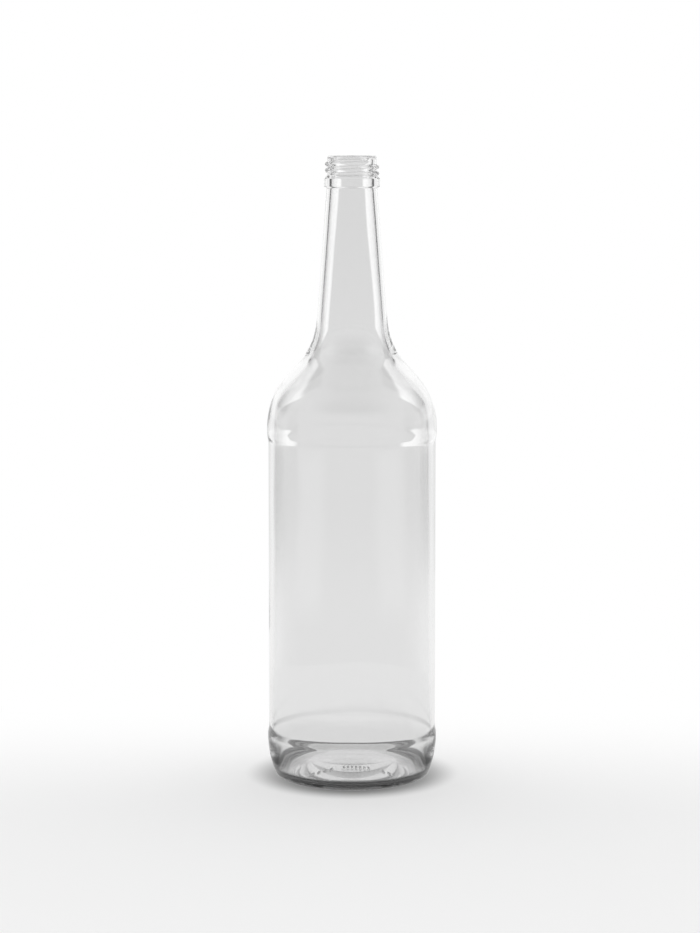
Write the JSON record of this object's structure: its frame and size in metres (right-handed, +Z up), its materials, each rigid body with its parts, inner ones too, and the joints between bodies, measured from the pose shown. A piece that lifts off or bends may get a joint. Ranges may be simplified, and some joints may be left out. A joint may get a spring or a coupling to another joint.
{
  "type": "straight-neck glass bottle",
  "caption": "Empty clear glass bottle with a round shoulder, straight tapered neck, screw finish with bead, shallow label panel and push-up base.",
  "frame": {"origin": "centre of the standing ring, on the surface that the bottle stands on", "axes": "+Z up along the bottle's axis, -Y towards the viewer"},
  "size_m": [0.086, 0.086, 0.315],
  "materials": {
    "clear_glass": "smooth fire-polished clear glass"
  },
  "bodies": {
    "root": {"bottle": "clear_glass"}
  },
  "joints": []
}
